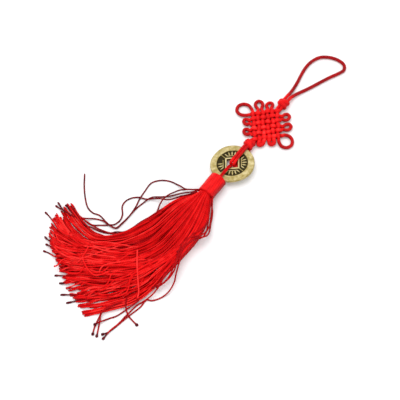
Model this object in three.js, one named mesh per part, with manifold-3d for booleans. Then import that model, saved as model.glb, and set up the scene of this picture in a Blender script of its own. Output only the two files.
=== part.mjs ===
// Chinese coin tassel charm: a knotted cord, a cast brass coin, a tassel and the cord that holds it.
// Millimetres. The charm lies on the plane z = 0. +Y runs from the tassel to the hanging loop.
// The origin is at the middle of the flat underside of the tassel's binding.
import * as THREE from "three";
import { mergeVertices } from "three/addons/utils/BufferGeometryUtils.js";
import Module from "manifold-3d";

const wasm = await Module();
wasm.setup();

// Driving dimensions
const CORD_RADIUS = 0.95; // knotting cord
const TIE_RADIUS = 0.85; // the same cord, pulled tight round the coin
const THIN_RADIUS = 0.47; // each strand of the tassel's own doubled cord
const THIN_SPACING = 0.78; // between those two strands

const BINDING = {
  back: -6.2, // y of the end that the strands leave
  front: 6.4, // y of the end beside the coin
  inner: 3.9,
  outer: 4.85,
  ridge: 0.12,
  turns: 8,
  sides: 20,
  axisZ: 4.65,
};
const CORE = { radius: 3.55, back: -8.0, front: 6.0, edge: 0.5 };

const COIN = {
  y: 19.6,
  radius: 12.5,
  thickness: 1.8,
  fieldRadius: 8.75,
  fieldDepth: 0.35,
  chamfer: 0.3,
  tiltDeg: 9,
  squareDeg: 36,
  holeSide: 6.4,
  borderSide: 8.2,
  unevenness: 0.12,
  floorClearance: 0.02,
  sides: 48,
};
// Three leaves on a bar
const SPRIG = {
  distance: 6.35,
  leafLength: 2.5,
  sideLeafLength: 2.05,
  leafWidth: 0.95,
  leafSpreadDeg: 48,
  barLength: 3.25,
  barWidth: 0.55,
  height: 0.3,
  sink: 0.1, // how far it reaches into the field
};

const LOWER_KNOT_Y = 35.9;
const ENDLESS_Y = 52.6;
const UPPER_KNOT_Y = 70.2;
const KNOT = {
  radiusX: 2.35,
  radiusZ: 1.75,
  offset: 1.25,
  tiltDeg: 24,
  axisZ: 2.6,
  heart: [2.5, 3.1, 2.1], // half sizes of the lump inside the wraps
};

// The endless knot's weave. U and V are its two directions, turned 45 degrees from X and Y.
const WEAVE = {
  passes: 6, // each way
  pitchU: 2.75, // between the passes that run along V
  pitchV: 3.4, // between the passes that run along U
  shear: 0.13, // how far the passes along V lean towards +U
  width: 2.3,
  thickness: 1.84,
  flat: 1.15, // width of the pressed face
  plateau: 1.4, // length of the pressed stretch at each crossing
  wave: 0.9,
  axisZ: 1.78,
  margin: 1.4, // from the last crossing to a pass's end
};
const LAST_U = (WEAVE.pitchU * (WEAVE.passes - 1)) / 2;
const LAST_V = (WEAVE.pitchV * (WEAVE.passes - 1)) / 2;
const END_U = LAST_U + WEAVE.margin;
const END_V = LAST_V + WEAVE.margin;

// Small ears: the side they stand on, the middle of their two feet, their reach, width and lean
const EARS = [
  { side: "plusV", along: -WEAVE.pitchU, reach: 17.2, halfWidth: 2.2, lean: -0.5 },
  { side: "plusV", along: WEAVE.pitchU, reach: 14.9, halfWidth: 1.9, lean: 0.4 },
  { side: "plusU", along: WEAVE.pitchV, reach: 14.1, halfWidth: 2.1, lean: 0.3 },
  { side: "plusU", along: -WEAVE.pitchV, reach: 14.6, halfWidth: 2.1, lean: 0.5 },
  { side: "minusU", along: WEAVE.pitchV, reach: 12.5, halfWidth: 2.0, lean: 1.1 },
  { side: "minusU", along: -WEAVE.pitchV, reach: 12.8, halfWidth: 2.0, lean: 1.2 },
  { side: "minusV", along: -WEAVE.pitchU, reach: 13.0, halfWidth: 1.6, lean: -1.4 },
  { side: "minusV", along: WEAVE.pitchU, reach: 13.5, halfWidth: 1.6, lean: 0.2 },
];
// An ear's way as shares of its half width and of its reach past the weave
const EAR_OUTLINE = [
  { width: 1.0, out: 0.45 },
  { width: 0.75, out: 0.83 },
  { width: 0.0, out: 1.0 },
];
const EAR_FOOT = { inside: 0.12, outside: 0.4 };

// Ways of the two large loops on the left and right corners, as places along U and V
const CORNER_LOOPS = [
  [
    [-7.1, 8.5], [-8.7, 8.45], [-10.4, 8.6], [-13.2, 9.9], [-14.4, 12.7], [-13.2, 15.6], [-10.3, 16.7],
    [-7.4, 15.5], [-6.1, 12.7], [-5.62, 9.9], [-5.7, 9.5],
  ],
  [
    [7.1, -8.5], [8.2, -8.4], [9.6, -8.3], [12.1, -9.5], [13.1, -12.2], [12.0, -15.2], [9.2, -16.4],
    [6.5, -15.2], [5.4, -12.4], [5.6, -9.9], [5.7, -9.5],
  ],
];

// Route of the hanging loop, from the upper knot round and back to it
const HANGING_LOOP = [
  { x: -1.1, y: 73.7, z: 2.6 },
  { x: -1.1, y: 76.6, z: 2.3 },
  { x: -1.2, y: 80.0, z: 1.5 },
  { x: -1.6, y: 84.0, z: 1.05 },
  { x: -2.2, y: 88.5, z: 0.99 },
  { x: -3.2, y: 93.5, z: 0.99 },
  { x: -4.1, y: 99.5, z: 0.99 },
  { x: -3.8, y: 105.6, z: 0.99 },
  { x: -1.4, y: 111.3, z: 0.99 },
  { x: 3.2, y: 114.6, z: 0.99 },
  { x: 8.5, y: 115.9, z: 0.99 },
  { x: 13.0, y: 115.0, z: 0.99 },
  { x: 15.0, y: 111.8, z: 0.99 },
  { x: 13.6, y: 107.6, z: 0.99 },
  { x: 11.2, y: 102.6, z: 0.99 },
  { x: 8.6, y: 96.4, z: 0.99 },
  { x: 6.0, y: 89.8, z: 0.99 },
  { x: 3.4, y: 84.0, z: 1.1 },
  { x: 1.9, y: 80.0, z: 1.6 },
  { x: 1.2, y: 76.6, z: 2.3 },
  { x: 1.1, y: 73.7, z: 2.6 },
];

// The spread tassel: where its left, middle and right strands lie at each station from root to tip
const FAN = [
  { left: [-2.2, -6.6], middle: [0.0, -6.8], right: [2.2, -6.6] },
  { left: [-8.4, -13.4], middle: [1.6, -21.4], right: [8.8, -14.6] },
  { left: [-13.6, -23.4], middle: [0.8, -36.8], right: [12.2, -28.2] },
  { left: [-17.6, -36.0], middle: [-3.4, -51.2], right: [12.2, -41.5] },
  { left: [-21.0, -48.4], middle: [-11.2, -63.0], right: [11.4, -54.6] },
  { left: [-27.1, -58.3], middle: [-21.2, -71.8], right: [11.0, -67.6] },
  { left: [-34.6, -62.6], middle: [-31.4, -78.6], right: [8.3, -79.8] },
  { left: [-45.6, -61.6], middle: [-40.6, -82.6], right: [0.4, -91.2] },
  { left: [-59.0, -56.0], middle: [-47.6, -84.4], right: [-11.6, -104.6] },
];
const STRANDS = {
  layers: 3,
  across: 28,
  segments: 9,
  width: 1.25,
  spread: 0.78, // share of the room between neighbours that a strand fills
  clearance: 0.15, // between layers
  rootPitch: 1.6,
  tipPitch: 0.95,
  rootZ: 1.8,
  fallEnd: 0.36, // share of the length by which the layers lie flat
  floorAt: 0.2, // share of the length by which the lowest layer meets the floor
  start: 0.055,
  rootEnd: 0.085, // share of the length that the fused root covers
  sway: 0.55,
};
const STRAY_WIDTH = 0.9;
const STRAY_FALL = 0.2; // share of a stray's length by which it meets its level
// Strands that stray out of the mass: the edge they root at, the level they lie on and their way
const STRAYS = [
  {
    root: 0.02,
    level: 0,
    way: [
      [-11.0, -9.6], [-17.0, -8.2], [-22.3, -9.0], [-27.4, -11.6], [-30.2, -16.4], [-29.8, -22.6],
      [-28.6, -32.0], [-27.4, -41.6], [-28.8, -48.6], [-33.0, -50.6], [-39.0, -49.4], [-45.0, -50.0],
      [-50.6, -47.0], [-56.6, -41.4], [-63.0, -33.6],
    ],
  },
  {
    root: 0.0,
    level: 1,
    way: [
      [-12.2, -13.2], [-17.0, -18.4], [-22.4, -22.0], [-28.4, -26.0], [-33.6, -30.6], [-34.6, -36.6],
      [-31.6, -42.4], [-30.8, -48.0], [-34.6, -52.6], [-40.6, -55.4], [-47.4, -55.6],
    ],
  },
  {
    root: 0.98,
    level: 0,
    way: [
      [12.6, -16.6], [16.0, -23.0], [17.0, -28.6], [15.4, -34.6], [14.8, -41.0], [15.6, -48.0],
      [17.4, -55.0], [18.8, -62.6], [17.8, -69.6], [14.6, -75.6], [9.0, -83.4], [4.6, -91.6],
      [2.0, -99.0], [0.6, -107.0],
    ],
  },
  {
    root: 1.0,
    level: 1,
    way: [
      [11.2, -16.6], [13.8, -28.0], [13.6, -41.0], [13.4, -55.0], [13.2, -67.0], [11.4, -79.0],
      [10.6, -90.0], [8.2, -99.4], [6.0, -107.4],
    ],
  },
];

// Closed surface of a three.js geometry as a solid that can be joined and cut
function toSolid(geometry) {
  const bare = geometry.clone();
  bare.deleteAttribute("normal");
  bare.deleteAttribute("uv");
  const merged = mergeVertices(bare, 1e-4);
  const vertProperties = Float32Array.from(merged.attributes.position.array);
  const triVerts = Uint32Array.from(merged.index.array);
  return new wasm.Manifold(new wasm.Mesh({ numProp: 3, vertProperties, triVerts }));
}

function toGeometry(solid) {
  const mesh = solid.getMesh();
  const geometry = new THREE.BufferGeometry();
  geometry.setAttribute("position", new THREE.BufferAttribute(Float32Array.from(mesh.vertProperties), 3));
  geometry.setIndex(new THREE.BufferAttribute(Uint32Array.from(mesh.triVerts), 1));
  geometry.computeVertexNormals();
  return geometry;
}

function join(solids) {
  return solids.reduce((whole, solid) => whole.add(solid));
}

// What lies on or above the floor
function aboveFloor(solid) {
  const size = 400;
  const below = new THREE.BoxGeometry(size, size, size).translate(0, 0, -size / 2);
  return solid.subtract(toSolid(below));
}

// A round cord along a smooth curve through its points
function cord(points, radius, sides, steps) {
  const corners = Array.from({ length: sides }, (_, side) => {
    const angle = (2 * Math.PI * (side + 0.5)) / sides;
    return new THREE.Vector2(radius * Math.cos(angle), radius * Math.sin(angle));
  });
  const path = new THREE.CatmullRomCurve3(points, false, "centripetal");
  return new THREE.ExtrudeGeometry(new THREE.Shape(corners), {
    steps,
    bevelEnabled: false,
    extrudePath: path,
  });
}

// A closed body through rings of points, each ring counter-clockwise about the way it travels
function loft(rings) {
  const sides = rings[0].length;
  const index = [];
  for (let ring = 0; ring < rings.length - 1; ring += 1) {
    for (let side = 0; side < sides; side += 1) {
      const a = ring * sides + side;
      const b = ring * sides + ((side + 1) % sides);
      index.push(a, b, b + sides, a, b + sides, a + sides);
    }
  }
  const last = (rings.length - 1) * sides;
  for (let a = 0; a < Math.floor((sides - 1) / 2); a += 1) {
    const corners = [a, a + 1, sides - 2 - a, sides - 1 - a];
    const triangles = corners[1] === corners[2] ? [[0, 1, 3]] : [[0, 1, 2], [0, 2, 3]];
    for (const triangle of triangles) {
      const [first, second, third] = triangle.map((corner) => corners[corner]);
      index.push(first, third, second, last + first, last + second, last + third);
    }
  }
  const geometry = new THREE.BufferGeometry();
  geometry.setFromPoints(rings.flat());
  geometry.setIndex(index);
  return geometry;
}

// A repeatable number from 0 to 1 for each pair of counts
function scatter(first, second) {
  const value = Math.sin(first * 12.9898 + second * 78.233) * 43758.5453;
  return value - Math.floor(value);
}

// The wound sleeve round the tassel's neck
function makeBinding() {
  const { back, front, inner, outer, ridge, turns, sides, axisZ } = BINDING;
  const step = (front - back) / turns;
  const profile = [new THREE.Vector2(inner, back), new THREE.Vector2(outer - ridge, back)];
  for (let turn = 0; turn < turns; turn += 1) {
    profile.push(new THREE.Vector2(outer + ridge, back + step * (turn + 0.5)));
    profile.push(new THREE.Vector2(outer - ridge, back + step * (turn + 1)));
  }
  profile.push(new THREE.Vector2(inner, front));
  profile.push(profile[0].clone());
  const sleeve = new THREE.LatheGeometry(profile, sides).translate(0, 0, axisZ);
  return toGeometry(aboveFloor(toSolid(sleeve)));
}

// One leaf of the coin's ornament, lying along +Y from the origin
function leafShape(length, width) {
  const widest = 0.45 * length;
  const shape = new THREE.Shape();
  shape.moveTo(0, 0);
  shape.quadraticCurveTo(width, widest, 0, length);
  shape.quadraticCurveTo(-width, widest, 0, 0);
  return shape;
}

// Three leaves on a short bar, raised on the field of the coin
function sprig(turn) {
  const { distance, leafLength, sideLeafLength, leafWidth, leafSpreadDeg, barLength, barWidth } = SPRIG;
  const depth = SPRIG.height + SPRIG.sink;
  const pieces = [-1, 0, 1].map((place) => {
    const length = place === 0 ? leafLength : sideLeafLength;
    const settings = { depth, bevelEnabled: false, curveSegments: 4 };
    const leaf = new THREE.ExtrudeGeometry(leafShape(length, leafWidth), settings);
    return leaf.rotateZ(THREE.MathUtils.degToRad(place * leafSpreadDeg));
  });
  const bar = new THREE.BoxGeometry(barLength, barWidth, depth);
  pieces.push(bar.translate(0, 0, depth / 2));
  const floor = COIN.thickness / 2 - COIN.fieldDepth - SPRIG.sink;
  return join(pieces.map(toSolid)).translate([0, distance - leafLength / 2, floor])
    .rotate([0, 0, turn]);
}

// The cast coin, flat on its middle plane
function coinSolid() {
  const { radius, thickness, fieldRadius, fieldDepth, chamfer, sides } = COIN;
  const rim = thickness / 2;
  const field = rim - fieldDepth;
  const lower = [
    [0, -field], [fieldRadius, -field], [fieldRadius + chamfer, -rim], [radius - chamfer, -rim],
    [radius, -rim + chamfer],
  ];
  const upper = lower.map(([r, h]) => [r, -h]).reverse();
  const profile = [...lower, ...upper].map(([r, h]) => new THREE.Vector2(r, h));
  const disc = new THREE.LatheGeometry(profile, sides).rotateX(Math.PI / 2);
  const place = disc.attributes.position;
  for (let i = 0; i < place.count; i += 1) {
    const angle = Math.atan2(place.getY(i), place.getX(i));
    const out = Math.hypot(place.getX(i), place.getY(i)) / radius;
    const wander = Math.sin(3 * angle + 0.6) + 0.6 * Math.sin(5 * angle + 2.1);
    const scale = 1 + (COIN.unevenness * wander * out * out) / radius;
    place.setXY(i, place.getX(i) * scale, place.getY(i) * scale);
  }
  const border = new THREE.BoxGeometry(COIN.borderSide, COIN.borderSide, thickness);
  const hole = new THREE.BoxGeometry(COIN.holeSide, COIN.holeSide, thickness * 3);
  const sprigs = [0, 90, 180, 270].map(sprig);
  return join([toSolid(disc), toSolid(border), ...sprigs]).subtract(toSolid(hole));
}

function makeCoin() {
  const tilt = THREE.MathUtils.degToRad(COIN.tiltDeg);
  const lift = COIN.radius * Math.sin(tilt) + (COIN.thickness / 2) * Math.cos(tilt) + COIN.floorClearance;
  const solid = coinSolid().rotate([0, 0, COIN.squareDeg]).rotate([0, -COIN.tiltDeg, 0]);
  return toGeometry(solid.translate([0, COIN.y, lift]));
}

// Two crossed wraps of the cord round the charm's line, pulled into one lump
function connectionKnot(y) {
  const wraps = [-1, 1].map((side) => {
    const wrap = new THREE.TorusGeometry(1, CORD_RADIUS / KNOT.radiusX, 6, 13);
    wrap.scale(KNOT.radiusX, KNOT.radiusX, KNOT.radiusX).rotateX(Math.PI / 2);
    wrap.scale(1, 1, KNOT.radiusZ / KNOT.radiusX);
    wrap.rotateZ(THREE.MathUtils.degToRad(side * KNOT.tiltDeg));
    return toSolid(wrap.translate(0, y + side * KNOT.offset, KNOT.axisZ));
  });
  const heart = new THREE.SphereGeometry(1, 8, 5).scale(...KNOT.heart);
  return [...wraps, toSolid(heart.translate(0, y, KNOT.axisZ))];
}

// A place on the endless knot, by its two weaving directions
function onKnot(u, v, z) {
  return new THREE.Vector3((u - v) / Math.SQRT2, ENDLESS_Y + (u + v) / Math.SQRT2, WEAVE.axisZ + z);
}

// The same, leaning as the weave does
function onWeave(u, v, z) {
  return onKnot(u + WEAVE.shear * v, v, z);
}

// A place beside one side of the endless knot: how far along that side and how far out
function besideWeave(side, along, out) {
  const places = {
    plusU: [out, along],
    minusU: [-out, along],
    plusV: [along, out],
    minusV: [along, -out],
  };
  const [u, v] = places[side];
  return onWeave(u, v, 0);
}

function ear({ side, along, reach, halfWidth, lean }) {
  const endsOnU = side.endsWith("U");
  const foot = (endsOnU ? WEAVE.pitchV : WEAVE.pitchU) / 2;
  const end = endsOnU ? END_U : END_V;
  const past = reach - end;
  const half = [
    { across: -foot, away: -EAR_FOOT.inside },
    { across: -foot, away: EAR_FOOT.outside },
    ...EAR_OUTLINE.map(({ width, out }) => ({ across: -width * halfWidth, away: out * past })),
  ];
  const mirrored = half.slice(0, -1).map(({ across, away }) => ({ across: -across, away })).reverse();
  const points = [...half, ...mirrored].map(({ across, away }) => {
    const shift = lean * Math.max(0, away / past);
    return besideWeave(side, along + across + shift, end + away);
  });
  return toSolid(cord(points, CORD_RADIUS, 6, 9));
}

function cornerLoop(way) {
  const points = way.map(([u, v]) => onKnot(u, v, 0));
  return toSolid(cord(points, CORD_RADIUS, 6, 15));
}

// One pass of the weave, pressed flat on the passes that it goes over and under
function weavePass(number, alongU) {
  const { passes, pitchU, pitchV, wave, width, thickness, flat, plateau } = WEAVE;
  const place = number - (passes - 1) / 2;
  const across = place * (alongU ? pitchV : pitchU);
  const pitch = alongU ? pitchU : pitchV;
  const end = alongU ? END_U : END_V;
  const section = [
    [width / 2, 0], [flat / 2, thickness / 2], [-flat / 2, thickness / 2], [-width / 2, 0],
    [-flat / 2, -thickness / 2], [flat / 2, -thickness / 2],
  ];
  const ring = (along, z) => section.map(([beside, above]) =>
    alongU ? onWeave(along, across + beside, z + above) : onWeave(across - beside, along, z + above));
  const rings = [ring(-end, 0)];
  for (let crossing = 0; crossing < passes; crossing += 1) {
    const middle = (crossing - (passes - 1) / 2) * pitch;
    const over = ((number + crossing) % 2 === 0) === alongU;
    const z = over ? wave : -wave;
    rings.push(ring(middle - plateau / 2, z), ring(middle + plateau / 2, z));
  }
  rings.push(ring(end, 0));
  return toSolid(loft(rings));
}

// The two cords between a corner of the endless knot and a connection knot
function cornerLinks(direction, knotY) {
  const offset = 0.9;
  const between = { away: 13.9, z: 2.3 };
  return [-1, 1].map((side) => {
    const u = side > 0 ? END_U : LAST_U;
    const v = side > 0 ? LAST_V : END_V;
    const x = offset * side * direction;
    const points = [
      onWeave(direction * u, direction * v, 0),
      new THREE.Vector3(x, ENDLESS_Y + direction * between.away, between.z),
      new THREE.Vector3(x, knotY, KNOT.axisZ),
    ];
    return toSolid(cord(points, CORD_RADIUS, 6, 3));
  });
}

// The doubled cord that goes over the coin's rim, down its hole and back beneath it
function coinTie() {
  const spacing = 1.52; // between its two strands
  const under = 1.5; // how far the part beneath shifts to the coin's raised side
  const knotEnd = LOWER_KNOT_Y - 1.5;
  const route = [
    { y: knotEnd, z: 3.9, shift: 0 },
    { y: COIN.y + 12.6, z: 4.95, shift: 0 },
    { y: COIN.y + 9.5, z: 5.15, shift: 0 },
    { y: COIN.y + 5.0, z: 5.1, shift: 0 },
    { y: COIN.y + 1.7, z: 4.98, shift: 0 },
    { y: COIN.y + 0.4, z: 4.5, shift: 0 },
    { y: COIN.y - 0.2, z: 3.6, shift: 0 },
    { y: COIN.y - 0.25, z: 2.7, shift: 0 },
    { y: COIN.y + 0.2, z: 1.75, shift: 0 },
    { y: COIN.y + 1.3, z: 1.05, shift: under },
    { y: COIN.y + 3.4, z: 0.82, shift: under },
    { y: COIN.y + 9.5, z: 0.82, shift: under },
    { y: COIN.y + 12.6, z: 1.0, shift: under },
    { y: knotEnd, z: 1.8, shift: 0 },
  ];
  return [-1, 1].map((side) => {
    const points = route.map(({ y, z, shift }) => new THREE.Vector3((side * spacing) / 2 + shift, y, z));
    return toSolid(cord(points, TIE_RADIUS, 6, 20));
  });
}

function makeKnottedCord() {
  const pieces = [];
  for (let number = 0; number < WEAVE.passes; number += 1) {
    pieces.push(weavePass(number, true), weavePass(number, false));
  }
  pieces.push(...EARS.map(ear), ...CORNER_LOOPS.map(cornerLoop));
  pieces.push(...cornerLinks(1, UPPER_KNOT_Y), ...cornerLinks(-1, LOWER_KNOT_Y));
  pieces.push(...connectionKnot(UPPER_KNOT_Y), ...connectionKnot(LOWER_KNOT_Y), ...coinTie());
  return toGeometry(aboveFloor(join(pieces)));
}

function makeHangingLoop() {
  const points = HANGING_LOOP.map(({ x, y, z }) => new THREE.Vector3(x, y, z));
  return cord(points, CORD_RADIUS, 8, 44);
}

// The tassel's own cord, through the coin's hole and back to the tassel's head
function makeTasselCord() {
  const gap = 0.4; // to the tassel's head, which its ends meet at a slant
  const start = CORE.front + gap;
  const middleX = 0.1;
  const route = [
    { y: start, z: 5.2 },
    { y: start + 1.6, z: 5.15 },
    { y: COIN.y - 8.0, z: 5.0 },
    { y: COIN.y - 4.6, z: 4.9 },
    { y: COIN.y - 3.0, z: 4.6 },
    { y: COIN.y - 2.1, z: 3.8 },
    { y: COIN.y - 1.8, z: 2.85 },
    { y: COIN.y - 2.1, z: 1.85 },
    { y: COIN.y - 3.2, z: 0.85 },
    { y: COIN.y - 5.2, z: 0.5 },
    { y: COIN.y - 10.0, z: 0.5 },
    { y: start + 1.9, z: 0.6 },
    { y: start + 1.2, z: 0.95 },
    { y: start + 0.6, z: 1.45 },
    { y: start, z: 1.65 },
  ];
  const strands = [-1, 1].map((side) => {
    const x = middleX + (side * THIN_SPACING) / 2;
    return toSolid(cord(route.map(({ y, z }) => new THREE.Vector3(x, y, z)), THIN_RADIUS, 6, 22));
  });
  return toGeometry(join(strands));
}

const fanGuides = ["left", "middle", "right"].map(
  (edge) => new THREE.CatmullRomCurve3(FAN.map((row) => new THREE.Vector3(row[edge][0], row[edge][1], 0))),
);

// A place in the spread tassel: across from 0, left, to 1, right, and along from root to tip
function onFan(across, along) {
  const [left, middle, right] = fanGuides.map((guide) => guide.getPoint(along));
  left.multiplyScalar((1 - across) * (1 - 2 * across));
  middle.multiplyScalar(4 * across * (1 - across));
  right.multiplyScalar(across * (2 * across - 1));
  return left.add(middle).add(right);
}

function layerPitch(along) {
  const fall = THREE.MathUtils.smoothstep(along, 0, STRANDS.fallEnd);
  return THREE.MathUtils.lerp(STRANDS.rootPitch, STRANDS.tipPitch, fall);
}

function lowestZ(along) {
  return STRANDS.rootZ * (1 - THREE.MathUtils.smoothstep(along, 0, STRANDS.floorAt));
}

// A three-sided strand with its flat side down
function strand(stations) {
  const rings = stations.map(({ at, side, width, z, height }) => {
    const reach = side.clone().multiplyScalar(width / 2);
    const left = at.clone().add(reach).setZ(z);
    const right = at.clone().sub(reach).setZ(z);
    return [left, at.clone().setZ(z + height), right];
  });
  return toSolid(loft(rings));
}

function sideways(before, after) {
  return new THREE.Vector3(before.y - after.y, after.x - before.x, 0).normalize();
}

// One layer of the tassel, as strands side by side that never cross
function strandLayer(layer) {
  const { across, segments, width, spread, clearance, start, sway } = STRANDS;
  const lane = (number, along) => {
    const drift = (scatter(number, layer) - 0.5) * sway * along;
    const roll = 0.35 * Math.sin(4 * along + 0.7 * number * (1 + 0.1 * layer) + layer) * along;
    return onFan((number + 0.5 + drift + roll * 0.6) / across, along);
  };
  return Array.from({ length: across }, (_, number) => {
    const end = 0.995 - 0.1 * scatter(number + 40, layer) ** 1.5;
    const stations = Array.from({ length: segments + 1 }, (__, count) => {
      const along = start + ((end - start) * count) / segments;
      const at = lane(number, along);
      const side = sideways(lane(number, along - 0.02), lane(number, Math.min(1, along + 0.02)));
      const room = [number - 1, number + 1].map((other) => Math.abs(lane(other, along).sub(at).dot(side)));
      const pitch = layerPitch(along);
      return {
        at,
        side,
        width: Math.min(width, spread * Math.min(...room)),
        z: lowestZ(along) + layer * pitch,
        height: pitch - clearance,
      };
    });
    return strand(stations);
  });
}

// A lone strand along its own way, from inside the root
function stray({ root, level, way }) {
  const points = way.map(([x, y]) => new THREE.Vector3(x, y, 0));
  const path = new THREE.CatmullRomCurve3([onFan(root, STRANDS.start), ...points], false, "centripetal");
  const count = way.length + 4;
  const stations = Array.from({ length: count + 1 }, (_, place) => {
    const share = place / count;
    const fall = 1 - THREE.MathUtils.smoothstep(share, 0, STRAY_FALL);
    const before = path.getPointAt(Math.max(0, share - 0.01));
    const after = path.getPointAt(Math.min(1, share + 0.01));
    return {
      at: path.getPointAt(share),
      side: sideways(before, after),
      width: STRAY_WIDTH,
      z: STRANDS.rootZ * fall + level * STRANDS.tipPitch,
      height: STRANDS.tipPitch - STRANDS.clearance,
    };
  });
  return strand(stations);
}

// The fused root, from inside the binding to where the strands part
function tasselRoot() {
  const { layers, rootEnd } = STRANDS;
  const margin = 0.15;
  const rings = [0, 0.25, 0.5, 0.75, 1].map((share) => {
    const along = share * rootEnd;
    const low = lowestZ(along) - margin;
    const high = lowestZ(along) + layers * layerPitch(along) + margin;
    const tops = [1.04, 0.92, 0.75, 0.5, 0.25, 0.08, -0.04];
    const slope = 0.5 * (high - low) * (1 - share);
    const round = (across) => slope * Math.max(0, Math.abs(across - 0.5) * 2 - 0.7);
    const upper = tops.map((across) => onFan(across, along).setZ(high - round(across)));
    const lower = tops.map((across) => onFan(across, along).setZ(low + round(across))).reverse();
    return [...upper, ...lower];
  });
  return toSolid(loft(rings));
}

function tasselCore() {
  const { radius, back, front, edge } = CORE;
  const outline = [[0, back], [radius, back], [radius, front - edge], [radius - edge, front], [0, front]];
  const profile = outline.map(([r, h]) => new THREE.Vector2(r, h));
  return toSolid(new THREE.LatheGeometry(profile, BINDING.sides).translate(0, 0, BINDING.axisZ));
}

function makeTassel() {
  const pieces = [tasselCore(), tasselRoot()];
  for (let layer = 0; layer < STRANDS.layers; layer += 1) {
    pieces.push(...strandLayer(layer));
  }
  pieces.push(...STRAYS.map(stray));
  return toGeometry(join(pieces));
}

const redCord = { color: 0xd4121f, roughness: 0.5, metalness: 0 };
const redThread = { color: 0xe8141c, roughness: 0.6, metalness: 0 };
const oldBrass = { color: 0xc9b06a, roughness: 0.45, metalness: 0.85 };

const group = new THREE.Group();
const parts = [
  { name: "hanging_loop", make: makeHangingLoop, finish: redCord },
  { name: "knotted_cord", make: makeKnottedCord, finish: redCord },
  { name: "coin", make: makeCoin, finish: oldBrass },
  { name: "tassel_cord", make: makeTasselCord, finish: redCord },
  { name: "tassel_binding", make: makeBinding, finish: redThread },
  { name: "tassel", make: makeTassel, finish: redThread },
];
for (const { name, make, finish } of parts) {
  const mesh = new THREE.Mesh(make(), new THREE.MeshStandardMaterial(finish));
  mesh.name = name;
  group.add(mesh);
}

export default group;
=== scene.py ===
import math

import bpy
import numpy as np
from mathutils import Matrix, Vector


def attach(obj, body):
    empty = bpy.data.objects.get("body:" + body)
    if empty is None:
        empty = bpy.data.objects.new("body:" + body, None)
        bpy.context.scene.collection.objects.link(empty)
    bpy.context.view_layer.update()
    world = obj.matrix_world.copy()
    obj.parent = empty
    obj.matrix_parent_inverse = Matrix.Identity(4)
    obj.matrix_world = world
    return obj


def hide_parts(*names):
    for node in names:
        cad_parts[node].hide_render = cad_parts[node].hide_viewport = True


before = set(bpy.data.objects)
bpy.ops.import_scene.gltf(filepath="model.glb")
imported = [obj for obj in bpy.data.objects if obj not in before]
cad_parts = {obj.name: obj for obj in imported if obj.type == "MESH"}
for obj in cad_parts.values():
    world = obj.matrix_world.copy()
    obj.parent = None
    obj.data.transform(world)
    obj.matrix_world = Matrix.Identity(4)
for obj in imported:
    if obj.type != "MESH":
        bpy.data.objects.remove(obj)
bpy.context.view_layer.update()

# Sizes are in millimetres and are turned into metres where a mesh is made.
MM = 0.001
CORD_RADIUS = 0.95
TIE_RADIUS = 0.85
THIN_RADIUS = 0.47
THREAD_RADIUS = 0.38
STRAY_RADIUS = 0.43
LOOP_SIDES = 28
CORD_SIDES = 20
THREAD_SIDES = 6
STRAY_SIDES = 8
UNDER_THREAD = 0.3  # painted shade: how much darker a thread's underside is, as a share of its tone
# UNDER_CORD and UNDER_WEAVE: the same painted underside shade, for cords and for the weave's passes
UNDER_CORD = 0.4
UNDER_WEAVE = 0.8
BRAID_SWELL = 1.03  # how far a braided cord's ridges stand out, as a share of its radius
PHASE = 6.28  # random phases lie between 0 and this, a full turn
UP = (0.0, 0.0, 1.0)
SIDEWAYS = (1.0, 0.0, 0.0)
rng = np.random.default_rng(20)

# Camera

CAMERA_TARGET = Vector((-0.00194, -0.00859, 0.0))
CAMERA_DISTANCE = 0.7
CAMERA_AZIMUTH = math.radians(36)
CAMERA_ELEVATION = math.radians(60)
CAMERA_LENS = 113.85
SENSOR_WIDTH = 36.0
back = Vector((
    math.sin(CAMERA_AZIMUTH) * math.cos(CAMERA_ELEVATION),
    -math.cos(CAMERA_AZIMUTH) * math.cos(CAMERA_ELEVATION),
    math.sin(CAMERA_ELEVATION),
))
camera_data = bpy.data.cameras.new("camera")
camera_data.lens = CAMERA_LENS
camera_data.sensor_width = SENSOR_WIDTH
camera = bpy.data.objects.new("camera", camera_data)
camera.location = CAMERA_TARGET + back * CAMERA_DISTANCE
camera.rotation_euler = (-back).to_track_quat("-Z", "Y").to_euler()
bpy.context.collection.objects.link(camera)
bpy.context.scene.camera = camera


# Mesh tools

def smoothstep(x, low, high):
    """Rises from 0 at low to 1 at high, slowly at both ends."""
    t = np.clip((np.asarray(x, float) - low) / (high - low), 0.0, 1.0)
    return t * t * (3.0 - 2.0 * t)


def guide(points, share):
    """Places on a centripetal curve through the points, by share of the way counted in points.

    A share over 1 runs straight on past the last point.
    """
    points = np.asarray(points, float)
    share = np.asarray(share, float)
    padded = np.vstack([2 * points[0] - points[1], points, 2 * points[-1] - points[-2]])
    spans = len(points) - 1
    place = np.maximum(share, 0.0) * spans
    index = np.minimum(place.astype(int), spans - 1)
    past = np.maximum(place - spans, 0.0)[:, None]
    w = np.minimum(place - index, 1.0)[:, None]
    p0, p1, p2, p3 = (padded[index + k] for k in range(4))
    d0 = np.sqrt(np.linalg.norm(p1 - p0, axis=1))[:, None]
    d1 = np.sqrt(np.linalg.norm(p2 - p1, axis=1))[:, None]
    d2 = np.sqrt(np.linalg.norm(p3 - p2, axis=1))[:, None]
    # the curve's directions at p1 and p2
    m1 = ((p1 - p0) / d0 - (p2 - p0) / (d0 + d1) + (p2 - p1) / d1) * d1
    m2 = ((p2 - p1) / d1 - (p3 - p1) / (d1 + d2) + (p3 - p2) / d2) * d1
    w2 = w * w
    w3 = w2 * w
    inside = (2 * w3 - 3 * w2 + 1) * p1 + (w3 - 2 * w2 + w) * m1 + (3 * w2 - 2 * w3) * p2 + (w3 - w2) * m2
    return inside + past * m2


def distances(line):
    """How far along the line each of its places is."""
    return np.concatenate([[0.0], np.cumsum(np.linalg.norm(np.diff(line, axis=0), axis=1))])


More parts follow.
